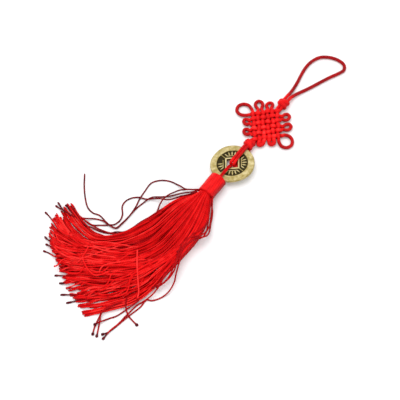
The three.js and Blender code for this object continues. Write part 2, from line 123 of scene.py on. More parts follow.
def evenly(line, spacing):
    """The same line, with its places spacing apart."""
    line = np.asarray(line, float)
    length = distances(line)
    count = max(2, int(round(length[-1] / spacing)) + 1)
    at = np.linspace(0.0, length[-1], count)
    return np.stack([np.interp(at, length, line[:, k]) for k in range(line.shape[1])], axis=1)


def smooth_line(points, spacing):
    dense = guide(points, np.linspace(0.0, 1.0, 24 * len(points)))
    return evenly(dense, spacing)


def sweep(line, high, wide=None, sides=CORD_SIDES, reference=UP, relief=None, square=2.0, closed=False):
    """Rings round a line.

    high is half the size along the reference and wide half the size across it. relief scales them by
    the angle round the line and the distance along it. A square over 2 makes squarer rings.
    """
    line = np.asarray(line, float)
    if closed:
        ahead = np.roll(line, -1, axis=0) - np.roll(line, 1, axis=0)
    else:
        ahead = np.gradient(line, axis=0)
    ahead = ahead / np.linalg.norm(ahead, axis=1)[:, None]
    reference = np.asarray(reference, float)
    first = reference - ahead * (ahead @ reference)[:, None]
    first = first / np.linalg.norm(first, axis=1)[:, None]
    second = np.cross(ahead, first)
    angle = 2 * np.pi * np.arange(sides) / sides
    c, s = np.cos(angle), np.sin(angle)
    round_off = (np.abs(c) ** square + np.abs(s) ** square) ** (-1.0 / square)
    high = np.broadcast_to(np.asarray(high, float), len(line))
    wide = high if wide is None else np.broadcast_to(np.asarray(wide, float), len(line))
    scale = np.ones((len(line), sides))
    if relief is not None:
        scale = relief(angle[None, :], distances(line)[:, None])
    along_first = (high[:, None] * (c * round_off)[None, :] * scale)[..., None]
    along_second = (wide[:, None] * (s * round_off)[None, :] * scale)[..., None]
    return line[:, None, :] + first[:, None, :] * along_first + second[:, None, :] * along_second


def braid(depth, strands, lead):
    """A braided surface: two sets of strands that wind opposite ways."""
    def relief(angle, along):
        turn = 2 * np.pi * along / lead
        return 1.0 + depth * np.maximum(np.cos(strands * angle + turn), np.cos(strands * angle - turn))
    return relief


def painted_under_shade(sides, depth):
    """Painted shade round a thread that lies flat: shares of a tone, whole on top and less by depth
    underneath.
    """
    return 1.0 - depth * 0.5 * (1 - np.cos(2 * np.pi * np.arange(sides) / sides))


cord_relief = braid(0.035, 5, 1.25)


class Bundle:
    """Rings gathered into one mesh, with a tone for each of them."""

    def __init__(self):
        self.places = []
        self.faces = []
        self.maps = []
        self.tones = []
        self.count = 0

    def add(self, rings, tone, closed=False):
        """tone is one number, one for each ring, or one for each place of each ring."""
        rows, sides = rings.shape[:2]
        index = self.count + np.arange(rows * sides).reshape(rows, sides)
        if closed:
            index = np.vstack([index, index[:1]])
        around = np.roll(index, -1, axis=1)
        quads = np.stack([index[:-1], around[:-1], around[1:], index[1:]], axis=-1).reshape(-1, 4)
        middle = rings.mean(axis=1)
        along = distances(np.vstack([middle, middle[:1]]) if closed else middle)
        v = along[:len(index)]
        side = np.arange(sides) / sides
        u_near = np.broadcast_to(side, (len(index) - 1, sides))
        u_far = u_near + 1.0 / sides
        v_near = np.broadcast_to(v[:-1, None], u_near.shape)
        v_far = np.broadcast_to(v[1:, None], u_near.shape)
        u = np.stack([u_near, u_far, u_far, u_near], axis=-1).reshape(-1)
        v = np.stack([v_near, v_near, v_far, v_far], axis=-1).reshape(-1)
        self.faces += quads.tolist()
        self.maps.append(np.stack([u, v], axis=-1))
        if not closed:
            self.faces.append(index[0][::-1].tolist())
            self.faces.append(index[-1].tolist())
            self.maps.append(np.zeros((2 * sides, 2)))
        self.places.append(rings.reshape(-1, 3))
        tone = np.asarray(tone, float)
        if tone.ndim == 1:
            tone = np.repeat(tone, sides)
        self.tones.append(np.broadcast_to(tone.reshape(-1), (rows * sides,)))
        self.count += rows * sides

    def build(self, name, material, node, lowest=0.0):
        """Makes the piece that takes the node's place, with nothing of it under lowest."""
        places = np.concatenate(self.places)
        places[:, 2] = np.maximum(places[:, 2], lowest)
        mesh = bpy.data.meshes.new(name)
        mesh.from_pydata((places * MM).tolist(), [], self.faces)
        layer = mesh.uv_layers.new(name="UVMap")
        layer.data.foreach_set("uv", np.concatenate(self.maps).astype(np.float32).ravel())
        tone = mesh.attributes.new("tone", "FLOAT", "POINT")
        tone.data.foreach_set("value", np.concatenate(self.tones).astype(np.float32))
        mesh.polygons.foreach_set("use_smooth", [True] * len(mesh.polygons))
        mesh.update()
        piece = bpy.data.objects.new(name, mesh)
        bpy.context.collection.objects.link(piece)
        mesh.materials.append(material)
        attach(piece, "root")
        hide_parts(node)
        return piece


# Materials

# Scales of the patterns, in repeats to the metre
CLOUD_SCALE = 260.0
GLOSS_SCALE = 900.0
MOTTLE_SCALE = 420.0
GRAIN_SCALE = 2200.0


class Graph:
    """A material's nodes, made in short calls."""

    def __init__(self, name):
        self.material = bpy.data.materials.new(name)
        self.material.use_nodes = True
        self.tree = self.material.node_tree
        self.tree.nodes.clear()
        self.shader = self.node("ShaderNodeBsdfPrincipled")
        output = self.node("ShaderNodeOutputMaterial")
        self.link(self.shader.outputs["BSDF"], output.inputs["Surface"])

    def node(self, kind, **settings):
        made = self.tree.nodes.new(kind)
        for key, value in settings.items():
            setattr(made, key, value)
        return made

    def link(self, source, target):
        self.tree.links.new(source, target)

    def math(self, operation, first, second=0.0, third=0.0):
        made = self.node("ShaderNodeMath", operation=operation)
        for socket, value in zip(made.inputs, (first, second, third)):
            if isinstance(value, (int, float)):
                socket.default_value = value
            else:
                self.link(value, socket)
        return made.outputs[0]

    def noise(self, scale, detail=2.0):
        where = self.node("ShaderNodeTexCoord")
        made = self.node("ShaderNodeTexNoise")
        made.inputs["Scale"].default_value = scale
        made.inputs["Detail"].default_value = detail
        self.link(where.outputs["Object"], made.inputs["Vector"])
        return made.outputs[0]

    def attribute(self, name):
        made = self.node("ShaderNodeAttribute", attribute_name=name)
        return made.outputs["Fac"]

    def ramp(self, value, stops):
        made = self.node("ShaderNodeValToRGB")
        elements = made.color_ramp.elements
        while len(elements) < len(stops):
            elements.new(0.5)
        for element, (place, colour) in zip(elements, stops):
            element.position = place
            element.color = (*colour, 1.0)
        self.link(value, made.inputs["Fac"])
        return made.outputs["Color"]

    def bump(self, height, distance, strength=1.0):
        made = self.node("ShaderNodeBump")
        made.inputs["Distance"].default_value = distance
        made.inputs["Strength"].default_value = strength
        self.link(height, made.inputs["Height"])
        self.link(made.outputs["Normal"], self.shader.inputs["Normal"])

    def twist(self, starts, lead, both_ways=False):
        """Strands that wind round a cord, from its map: turns round and millimetres along."""
        where = self.node("ShaderNodeUVMap", uv_map="UVMap")
        split = self.node("ShaderNodeSeparateXYZ")
        self.link(where.outputs["UV"], split.inputs["Vector"])
        turn = self.math("MULTIPLY", split.outputs["X"], 2 * math.pi * starts)
        along = self.math("MULTIPLY", split.outputs["Y"], 2 * math.pi / lead)
        forward = self.math("COSINE", self.math("ADD", turn, along))
        if not both_ways:
            return forward
        return self.math("MAXIMUM", forward, self.math("COSINE", self.math("SUBTRACT", turn, along)))


def fibre_material(name, stops, starts, lead, depth, roughness, shine, both_ways=False):
    """Fibres in starts strands, which wind round once in lead millimetres, raised by depth metres."""
    graph = Graph(name)
    shader = graph.shader
    tone = graph.attribute("tone")
    cloud = graph.math("MULTIPLY_ADD", graph.noise(CLOUD_SCALE), 0.4, -0.2)
    pattern = graph.twist(starts, lead, both_ways)
    # the twist's raised strands are lighter in colour: painted shade in the grooves between them
    shade = graph.math("MULTIPLY_ADD", pattern, 0.08, graph.math("ADD", tone, cloud))
    graph.link(graph.ramp(shade, stops), shader.inputs["Base Color"])
    gloss = graph.math("MULTIPLY_ADD", graph.noise(GLOSS_SCALE), 0.16, roughness - 0.08)
    graph.link(gloss, shader.inputs["Roughness"])
    shader.inputs["Specular IOR Level"].default_value = shine
    graph.bump(pattern, depth)
    return graph.material


RED_STOPS = [
    (0.0, (0.06, 0.003, 0.008)),
    (0.14, (0.2, 0.003, 0.006)),
    (0.3, (0.38, 0.002, 0.004)),
    (0.55, (0.66, 0.003, 0.004)),
    (0.8, (0.86, 0.005, 0.006)),
    (1.0, (0.98, 0.04, 0.035)),
]
cord_material = fibre_material("knotting_cord_red", RED_STOPS, 8, 0.8, 0.00006, 0.42, 0.12, both_ways=True)
thread_material = fibre_material("tassel_thread_red", RED_STOPS, 2, 1.3, 0.00008, 0.5, 0.07)
winding_material = fibre_material("winding_red", RED_STOPS, 60, 3.0, 0.00002, 0.45, 0.1)


def brass_material():
    """Dark in the coin's hollows and bright where it stands out and is worn."""
    graph = Graph("worn_brass")
    shader = graph.shader
    raised = graph.attribute("tone")
    mottle = graph.noise(MOTTLE_SCALE, 4.0)
    grain = graph.noise(GRAIN_SCALE, 3.0)
    worn = graph.math("MULTIPLY_ADD", raised, 0.86, graph.math("MULTIPLY_ADD", mottle, 0.76, -0.38))
    colour = graph.ramp(worn, [
        (0.1, (0.03, 0.022, 0.004)),
        (0.36, (0.06, 0.045, 0.008)),
        (0.55, (0.2, 0.15, 0.04)),
        (0.78, (0.37, 0.285, 0.09)),
        (1.0, (0.62, 0.53, 0.28)),
    ])
    graph.link(colour, shader.inputs["Base Color"])
    graph.link(graph.math("MULTIPLY_ADD", worn, -0.2, 0.68), shader.inputs["Roughness"])
    shader.inputs["Metallic"].default_value = 0.35
    shader.inputs["Specular IOR Level"].default_value = 0.2
    graph.bump(graph.math("MULTIPLY_ADD", grain, 0.4, mottle), 0.00012, 0.6)
    return graph.material


coin_material = brass_material()

# Hanging loop

HANGING_LOOP = [
    (-1.1, 73.7, 2.6), (-1.1, 76.6, 2.3), (-1.2, 80.0, 1.5), (-1.6, 84.0, 1.05), (-2.2, 88.5, 0.99),
    (-3.2, 93.5, 0.99), (-4.1, 99.5, 0.99), (-3.8, 105.6, 0.99), (-1.4, 111.3, 0.99), (3.2, 114.6, 0.99),
    (8.5, 115.9, 0.99), (13.0, 115.0, 0.99), (15.0, 111.8, 0.99), (13.6, 107.6, 0.99), (11.2, 102.6, 0.99),
    (8.6, 96.4, 0.99), (6.0, 89.8, 0.99), (3.4, 84.0, 1.1), (1.9, 80.0, 1.6), (1.2, 76.6, 2.3),
    (1.1, 73.7, 2.6),
]
LOOP_STEP = 0.22
loop_line = smooth_line(HANGING_LOOP, LOOP_STEP)
loop_bundle = Bundle()
loop_length = distances(loop_line)[-1]
loop_from_end = np.minimum(distances(loop_line), loop_length - distances(loop_line))
loop_tone_and_highlight = 0.24 + 0.34 * (1 - smoothstep(loop_from_end, 2.0, 6.0))  # painted highlight: brighter where it leaves the knot
loop_bundle.add(sweep(loop_line, CORD_RADIUS, sides=LOOP_SIDES, relief=cord_relief), loop_tone_and_highlight)
loop = loop_bundle.build("hanging_loop_cord", cord_material, "hanging_loop")

# Knotted cord

LOWER_KNOT_Y = 35.9
ENDLESS_Y = 52.6
UPPER_KNOT_Y = 70.2
KNOT_Z = 2.6
WEAVE_Z = 1.78
PASSES = 6
PITCH_U = 2.75  # between the passes that run along V
PITCH_V = 3.4  # between the passes that run along U
SHEAR = 0.13  # how far the passes along V lean towards +U
MARGIN = 1.4  # from the last crossing to a pass's end
WAVE = 0.98  # how far a pass rises and falls from the weave's middle
CORD_STEP = 0.25
PASS_STEP = 0.2
FLAT_TOPS = 1.2  # how flat a pass is where it is highest and lowest
FOOT_FADE = (0.6, 3.4)  # from where to where, from a cord's end, its foot's brightness fades
LAST_U = PITCH_U * (PASSES - 1) / 2
LAST_V = PITCH_V * (PASSES - 1) / 2
END_U = LAST_U + MARGIN
END_V = LAST_V + MARGIN
COIN_Y = 19.6

knotted = Bundle()


def on_knot(u, v, z):
    """A place by U and V, which run at 45 degrees to the charm's line, and z from the weave's middle."""
    u, v, z = np.broadcast_arrays(np.asarray(u, float), v, z)
    return np.stack([(u - v) / math.sqrt(2), ENDLESS_Y + (u + v) / math.sqrt(2), WEAVE_Z + z], axis=-1)


def on_weave(u, v, z):
    """The same on the leaning weave."""
    return on_knot(np.asarray(u, float) + SHEAR * np.asarray(v, float), v, z)


def add_cord(points, radius=CORD_RADIUS, tone=0.5, reference=UP, closed=False, feet=0.0):
    """A cord along a smooth line. feet is how much brighter its two ends are than its middle."""
    line = smooth_line(points, CORD_STEP)
    tone = tone(line) if callable(tone) else tone
    along = distances(line)
    from_end = np.minimum(along, along[-1] - along)
    tone = tone + feet * (1 - smoothstep(from_end, *FOOT_FADE))
    if closed:
        line = line[:-1]
        tone = tone[:-1]
    # a cord that lies flat gets painted shade on its underside
    if reference == UP:
        tone = np.outer(np.broadcast_to(tone, len(line)), painted_under_shade(CORD_SIDES, UNDER_CORD))
    rings = sweep(line, radius / BRAID_SWELL, None, CORD_SIDES, reference, cord_relief, closed=closed)
    knotted.add(rings, tone, closed)


def add_weave_pass(number, along_u):
    """One pass of the endless knot, which goes over and under those that run the other way."""
    pitch, end = (PITCH_U, END_U) if along_u else (PITCH_V, END_V)
    sign = -1.0 if (number % 2 == 0) == along_u else 1.0
    along = np.arange(-end - PASS_STEP / 2, end + PASS_STEP, PASS_STEP)
    # it rises and falls with flattened tops, and wavers a little sideways
    wave = sign * np.sin(np.pi * along / pitch)
    wave = np.tanh(FLAT_TOPS * wave) / np.tanh(FLAT_TOPS)
    wave = wave * (1 + 0.16 * np.sin(1.3 * along + 2 * number + along_u))
    across = (number - (PASSES - 1) / 2) * (PITCH_V if along_u else PITCH_U)
    across = across + 0.3 * np.sin(0.62 * along + 1.9 * number + 3 * along_u)
    inside = smoothstep(end - np.abs(along), 0.0, 1.2)
    high = CORD_RADIUS - 0.04 * inside
    spread = 0.3 if along_u else 0.12
    wide = CORD_RADIUS + (spread + 0.2 * wave ** 2 + 0.1 * np.sin(2.1 * along + number)) * inside
    line = on_weave(along, across, WAVE * wave) if along_u else on_weave(across, along, WAVE * wave)
    # painted light and shade: a pass is lighter where it rides over a crossing and darker where it dips
    # under, plus random tone; its underside gets painted shade
    bright = 0.34 + 0.42 * smoothstep(wave, -0.5, 1.0) + rng.uniform(-0.08, 0.08)
    bright = bright + 0.12 * np.sin(1.1 * along + rng.uniform(0, PHASE))
    rings = sweep(line, high / BRAID_SWELL, wide / BRAID_SWELL, CORD_SIDES, relief=cord_relief, square=2.1)
    knotted.add(rings, np.outer(bright, painted_under_shade(CORD_SIDES, UNDER_WEAVE)))


for number in range(PASSES):
    add_weave_pass(number, True)
    add_weave_pass(number, False)

# Each ear: its side, the middle of its feet, its reach, half width, lean, droop, the half width of
# its neck, the radius of its cord and its tone
EARS = [
    ("plusV", -PITCH_U, 17.2, 2.1, -0.5, 0.5, 1.0, 0.98, 0.4),
    ("plusV", PITCH_U, 14.9, 1.8, 0.4, 0.3, 1.0, 0.98, 0.46),
    ("plusU", PITCH_V, 14.1, 1.95, 0.3, 0.3, 1.0, 0.98, 0.44),
    ("plusU", -PITCH_V, 14.6, 1.95, 0.5, 0.5, 1.0, 0.98, 0.44),
    ("minusU", PITCH_V, 12.5, 1.7, 1.1, 0.3, 1.1, 0.98, 0.4),
    ("minusU", -PITCH_V, 12.8, 1.7, 1.2, 0.3, 1.1, 0.98, 0.4),
    ("minusV", -PITCH_U, 12.7, 1.35, -1.2, 0.2, 1.3, 1.25, 0.56),
    ("minusV", PITCH_U, 13.2, 1.35, 0.1, 0.2, 1.3, 1.25, 0.56),
]


def beside_weave(side, along, out, z):
    """A place by how far it lies along one side of the weave and out from the weave's middle."""
    if side == "plusU":
        return on_weave(out, along, z)
    if side == "minusU":
        return on_weave(-out, along, z)
    if side == "plusV":
        return on_weave(along, out, z)
    return on_weave(along, -out, z)


for side, middle, reach, half_width, lean, droop, neck, thick, tone in EARS:
    foot, end = (PITCH_V / 2, END_U) if side.endswith("U") else (PITCH_U / 2, END_V)
    out = reach - end
    # half of the ear's outline: beside the middle of its feet, and outwards
    near = [
        (-foot, -0.6),
        (-foot, 0.0),
        (-neck, 0.2 * out),
        (-half_width, 0.58 * out),
        (-0.82 * half_width, 0.85 * out),
    ]
    outline = near + [(0.0, out)] + [(-a, o) for a, o in reversed(near)]
    points = []
    for a, o in outline:
        share = max(0.0, o / out)
        points.append(beside_weave(side, middle + a + lean * share, end + o, -droop * share))
    add_cord(points, radius=thick, tone=tone, feet=0.34)

# The two large loops on the left and right corners, as places along U and V, and their droop
CORNER_LOOPS = [
    (0.7, [
        (-7.1, 8.5), (-8.7, 8.45), (-10.4, 8.6), (-13.2, 9.9), (-14.4, 12.7), (-13.2, 15.6), (-10.3, 16.7),
        (-7.4, 15.5), (-6.1, 12.7), (-5.62, 9.9), (-5.7, 9.5)]),
    (0.75, [
        (7.1, -8.5), (8.2, -8.4), (9.6, -8.3), (12.1, -9.5), (13.1, -12.2), (12.0, -15.2), (9.2, -16.4),
        (6.5, -15.2), (5.4, -12.4), (5.6, -9.9), (5.7, -9.5)]),
]
DROOP_REACH = 7.0  # how far past its feet a loop has drooped whole
for droop, way in CORNER_LOOPS:
    points = []
    for u, v in way:
        far = math.hypot(u, v) - math.hypot(*way[-1])
        points.append(on_knot(u, v, -droop * min(1.0, max(0.0, far / DROOP_REACH))))
    add_cord(points, radius=1.0, tone=0.36, feet=0.3)

KNOT_REACH = 13.9  # from the weave's middle to where its two cords come together
NECK_HALF = 0.95  # half the way between the two there
NECK_Z = 2.3

# The cords from the weave's upper and lower corners into the connection knots
for direction, knot_y in ((1, UPPER_KNOT_Y), (-1, LOWER_KNOT_Y)):
    for side in (-1, 1):
        u, v = (END_U, LAST_V) if side > 0 else (LAST_U, END_V)
        start = on_weave(direction * u, direction * v, 0.0)
        x = NECK_HALF * side * direction
        together = np.array([x, ENDLESS_Y + direction * KNOT_REACH, NECK_Z])
        points = [
            start,
            0.55 * start + 0.45 * together,
            together,
            (0.9 * x, knot_y - direction * 1.6, KNOT_Z + 0.3),
            (0.7 * x, knot_y, KNOT_Z),
        ]
        add_cord(points, tone=0.62)


RING_HALF_WIDTH = 2.3
RING_HALF_HEIGHT = 1.75
RING_RADIUS = 1.06
RING_APART = 1.15  # half the way between a knot's two rings
RING_TILT = math.radians(13)
FACE_RADIUS = 1.1
HALF_FACE = [(0.0, 0.0, 2.3), (1.2, 0.95, 1.8), (1.7, 1.2, 0.5)]  # right, along and up from its middle
HEART_SIZE = (2.9, 3.1, 2.5)  # half its width, length and height
HEART_RINGS = 17
RING_POINTS = 49


def painted_ring_light(line):
    """Painted light and shade: brighter on top of a knot than at its sides."""
    return 0.36 + 0.28 * smoothstep(line[:, 2], KNOT_Z, KNOT_Z + 1.6)


def connection_knot(y, direction):
    """Two tilted rings of cord, a strand that crosses their face and the heart that they close on."""
    for side in (-1, 1):
        turn = np.linspace(0, 2 * np.pi, RING_POINTS)
        tilt = RING_TILT * side
        x = RING_HALF_WIDTH * np.cos(turn)
        z = KNOT_Z + RING_HALF_HEIGHT * np.sin(turn)
        line = np.stack([x * math.cos(tilt), y + side * RING_APART + x * math.sin(tilt), z], axis=-1)
        add_cord(line, radius=RING_RADIUS, tone=painted_ring_light, reference=(0, 1, 0), closed=True)
    face = [(-a, y - b * direction, KNOT_Z + c) for a, b, c in HALF_FACE[:0:-1]]
    face += [(a, y + b * direction, KNOT_Z + c) for a, b, c in HALF_FACE]
    # the strand across the face is lighter: a painted highlight on the knot's middle
    add_cord(face, radius=FACE_RADIUS, tone=0.72, reference=SIDEWAYS)
    width, length, height = HEART_SIZE
    heart = np.linspace(-1, 1, HEART_RINGS)
    core = np.stack([0 * heart, y + length * heart, np.full(HEART_RINGS, KNOT_Z)], axis=-1)
    bulk = np.sqrt(1.0001 - heart ** 2)
    knotted.add(sweep(core, height * bulk, width * bulk, CORD_SIDES), tone=0.42)


connection_knot(UPPER_KNOT_Y, 1)
connection_knot(LOWER_KNOT_Y, -1)

# The cords from the upper knot's heart into the hanging loop's two ends
for loop_end, beyond in (HANGING_LOOP[:2], HANGING_LOOP[:-3:-1]):
    end = np.array(loop_end)
    points = [
        (0.7 * end[0], UPPER_KNOT_Y + 0.6, KNOT_Z),
        (0.95 * end[0], UPPER_KNOT_Y + 2.2, KNOT_Z),
        end,
        0.7 * end + 0.3 * np.array(beyond),
    ]
    add_cord(points, tone=0.58)

# Way of the doubled cord over the coin's rim, down its hole and back beneath it: how far its
# middle shifts to the right, y, z and half the room between its two strands
TIE_ROUTE = [
    (0.0, LOWER_KNOT_Y - 1.5, 3.9, 0.76), (0.0, COIN_Y + 12.6, 4.95, 0.76), (0.0, COIN_Y + 9.5, 5.15, 0.76),
    (0.0, COIN_Y + 5.0, 5.1, 0.78), (0.0, COIN_Y + 1.7, 4.98, 0.92), (0.0, COIN_Y + 0.4, 4.5, 0.96),
    (0.0, COIN_Y - 0.2, 3.6, 0.9), (0.0, COIN_Y - 0.25, 2.7, 0.82), (0.4, COIN_Y + 0.2, 1.75, 0.76),
    (1.5, COIN_Y + 1.3, 1.05, 0.76), (1.5, COIN_Y + 3.4, 0.86, 0.76), (1.5, COIN_Y + 9.5, 0.86, 0.76),
    (1.5, COIN_Y + 12.6, 1.0, 0.76), (0.0, LOWER_KNOT_Y - 1.5, 1.8, 0.76),
]


def painted_tie_highlight(line):
    """A painted highlight: brighter where the cord bends over into the hole."""
    return 0.46 + 0.34 * (1 - smoothstep(np.abs(line[:, 1] - COIN_Y - 1.2), 0.6, 2.2))


for side in (-1, 1):
    points = [(shift + side * apart, y, z) for shift, y, z, apart in TIE_ROUTE]
    add_cord(points, radius=TIE_RADIUS, tone=painted_tie_highlight, reference=SIDEWAYS)

knotted.build("knotting_cord_body", cord_material, "knotted_cord")

# Coin

COIN_RADIUS = 12.5
COIN_HALF = 0.9
FIELD_RADIUS = 8.75
FIELD_DEPTH = 0.35
HOLE_HALF = 3.2
BORDER_HALF = 4.1
COIN_TILT = math.radians(9)
COIN_TURN = math.radians(36)
COIN_LIFT = COIN_RADIUS * math.sin(COIN_TILT) + COIN_HALF * math.cos(COIN_TILT) + 0.02
COIN_STEPS = 320  # round the coin
FACE_STEPS = 66  # across a face, from its hole to its rim
RIM_STEPS = 13  # over the rim, from one face to the other
SQUARENESS = 14  # how sharp the hole's corners are
EDGE_UNEVEN = 0.12
EDGE_ROUND = 0.42
WALL_HALF = 0.86  # half the height of the hole's wall
WALL_TONE = 0.35
RIM_TONE = 0.92
LEAF_EDGE = (-0.06, 0.12)  # from where to where a leaf's edge rises, inwards from its outline


def leaf_mask(x, y, base_y, turn, length, width):
    """How far inside one leaf a place is, from 0 to 1."""
    c, s = math.cos(turn), math.sin(turn)
    along = -x * s + (y - base_y) * c
    across = x * c + (y - base_y) * s
    share = np.clip(along / length, 0.0, 1.0)
    half = width * 2.0 * share ** 0.7 * (1.0 - share)
    inside = half - np.abs(across)
    inside = np.where((along < 0) | (along > length), -1.0, inside)
    return smoothstep(inside, *LEAF_EDGE)


# Leaflets of one sprig: where each starts across and up from the coin's middle, its turn, length
# and half width
LEAFLETS = [
    (0.0, 5.3, 0, 3.3, 0.74),
    (1.3, 5.2, -16, 3.2, 0.68), (-1.3, 5.2, 16, 3.2, 0.68),
    (2.3, 4.7, -42, 3.1, 0.62), (-2.3, 4.7, 42, 3.1, 0.62),
]
RIB_HALF = 0.26  # half width of the sprigs' stems and of the ribs from the square's corners
STEM_Y = 5.15
STEM_REACH = 2.7
RIB_MIDDLE = 7.3
RIB_REACH = 1.7
LEAF_HEIGHT = 0.92
RIB_HEIGHT = 0.85
# Leaflets worn away beside one corner: the sprig and where the leaflet starts
WORN_LEAFLETS = [(1, 2.3), (1, 1.3)]


def bar_mask(across, reach, half_length):
    """How far inside a stem or rib a place is, from 0 to 1."""
    beside = smoothstep(RIB_HALF - np.abs(across), -0.06, 0.1)
    return beside * smoothstep(half_length - np.abs(reach), *LEAF_EDGE)


def coin_relief(x, y):
    """Height above the field as a share of the rim's, at a place on the coin's face."""
    r = np.hypot(x, y)
    rim = smoothstep(r, FIELD_RADIUS - 0.12, FIELD_RADIUS + 0.22)
    square = np.maximum(np.abs(x), np.abs(y))
    border = 1.0 - smoothstep(square, BORDER_HALF - 0.2, BORDER_HALF + 0.12)
    height = np.maximum(rim, 0.96 * border)
    for quarter in range(4):
        c, s = math.cos(quarter * math.pi / 2), math.sin(quarter * math.pi / 2)
        px = x * c + y * s
        py = -x * s + y * c
        for start_x, start_y, turn, length, width in LEAFLETS:
            if (quarter, start_x) in WORN_LEAFLETS:
                continue
            mask = leaf_mask(px - start_x, py, start_y, math.radians(turn), length, width)
            height = np.maximum(height, LEAF_HEIGHT * mask)
        height = np.maximum(height, LEAF_HEIGHT * bar_mask(py - STEM_Y, px, STEM_REACH))
        diagonal = (px + py) / math.sqrt(2)
        beside = (px - py) / math.sqrt(2)
        height = np.maximum(height, RIB_HEIGHT * bar_mask(beside, diagonal - RIB_MIDDLE, RIB_REACH))
    return height


def make_coin():
    """The coin as one closed band of rings: its top, rim, bottom and the wall of its hole."""
    angles = 2 * np.pi * np.arange(COIN_STEPS) / COIN_STEPS
    c, s = np.cos(angles), np.sin(angles)
    inner = HOLE_HALF * (np.abs(c) ** SQUARENESS + np.abs(s) ** SQUARENESS) ** (-1 / SQUARENESS)
    turned = angles + COIN_TURN
    edge = COIN_RADIUS + EDGE_UNEVEN * (np.sin(3 * turned + 0.6) + 0.6 * np.sin(5 * turned + 2.1))
    # closest together at the hole's edge and at the rim
    shares = np.concatenate([[0.0, 0.004], np.linspace(0.03, 0.93, FACE_STEPS), [0.95, 0.965]])
    wear = 0.05 * np.sin(2 * angles + 0.4) + 0.03 * np.sin(7 * angles)

    def face(upwards):
        """Rings from the hole to the rim, each with its relief."""
        made = []
        for share in shares:
            r = inner + (edge - inner) * share
            x, y = r * c, r * s
            relief = coin_relief(x, y)
            soften = 0.06 if share == 0.0 else 0.0
            worn = relief * wear * smoothstep(r, FIELD_RADIUS, COIN_RADIUS)
            h = COIN_HALF - FIELD_DEPTH * (1 - relief) - soften - np.abs(worn)
            # the sprigs in the field are a little brighter than the rim
            raised = relief * (1.0 + 0.14 * (r < FIELD_RADIUS - 0.3))
            made.append((np.stack([x, y, h if upwards else -h], axis=-1), raised))
        return made

    top = face(True)
    bottom = face(False)[::-1]
    rim = []
    for step in np.linspace(0, np.pi, RIM_STEPS):
        bulge = EDGE_ROUND * math.sin(step) ** 0.8
        h = COIN_HALF * math.copysign(abs(math.cos(step)) ** 0.55, math.cos(step))
        r = edge - EDGE_ROUND + bulge
        worn = np.sign(h) * np.abs(wear) * 0.9
        rim.append((np.stack([r * c, r * s, h - worn], axis=-1), np.full_like(r, RIM_TONE)))
    wall = []
    for share in (0.25, 0.5, 0.75):
        h = -WALL_HALF + 2 * WALL_HALF * share
        places = np.stack([inner * c, inner * s, np.full_like(inner, h)], axis=-1)
        wall.append((places, np.full_like(inner, WALL_TONE)))
    rings = top + rim[1:-1] + bottom + wall
    local = np.array([places for places, relief in rings])[:, ::-1]
    tone = np.array([relief for places, relief in rings])[:, ::-1]
    x, y, z = local[..., 0], local[..., 1], local[..., 2]
    turned_x = x * math.cos(COIN_TURN) - y * math.sin(COIN_TURN)
    turned_y = x * math.sin(COIN_TURN) + y * math.cos(COIN_TURN)
    world = np.stack([
        turned_x * math.cos(COIN_TILT) - z * math.sin(COIN_TILT),
        turned_y + COIN_Y,
        turned_x * math.sin(COIN_TILT) + z * math.cos(COIN_TILT) + COIN_LIFT,
    ], axis=-1)
    bundle = Bundle()
    bundle.add(world[::-1], tone[::-1], closed=True)
    return bundle.build("old_coin", coin_material, "coin")


make_coin()

# Tassel's cord and binding

# How far along (y) and how high (z) the tassel's own cord lies
TASSEL_CORD_ROUTE = [
    (5.7, 5.2), (8.0, 5.15), (11.6, 5.0), (15.0, 4.9), (16.6, 4.6), (17.5, 3.8), (17.8, 2.85),
    (17.5, 1.85), (16.4, 0.9), (14.4, 0.56), (9.6, 0.54), (8.3, 0.62), (7.6, 0.95), (7.0, 1.45), (5.7, 1.75),
]
TASSEL_CORD_X = 0.1
TASSEL_CORD_APART = 0.43  # half the way between its two strands
TASSEL_CORD_SIDES = 14
tassel_cord = Bundle()
for side in (-1, 1):
    x = TASSEL_CORD_X + side * TASSEL_CORD_APART
    line = smooth_line([(x, y, z) for y, z in TASSEL_CORD_ROUTE], 0.2)
    rings = sweep(line, THIN_RADIUS, None, TASSEL_CORD_SIDES, SIDEWAYS, braid(0.05, 2, 1.6))
    tassel_cord.add(rings, 0.4)
tassel_cord.build("tassel_cord_pair", thread_material, "tassel_cord")

BINDING_BACK = -6.2
BINDING_FRONT = 6.4
BINDING_Z = 4.65
BINDING_OUTER = 4.84
BINDING_INNER = 3.72
BINDING_FLARE = 0.1
BINDING_SIDES = 84
WINDING_PITCH = 0.36
WINDING_STEP = 0.072
WINDING_RIDGE = 0.03
BINDING_TONE = 0.63
# painted shade: the inside of the sleeve is darker than its outside
INSIDE_TONE = 0.5
END_ROUND = 0.34
END_LENGTH = 0.6


def ring_at(y, radius, angle):
    """A ring of places round the binding's middle line."""
    y = np.broadcast_to(y, angle.shape)
    return np.stack([radius * np.cos(angle), y, BINDING_Z + radius * np.sin(angle)], axis=-1)


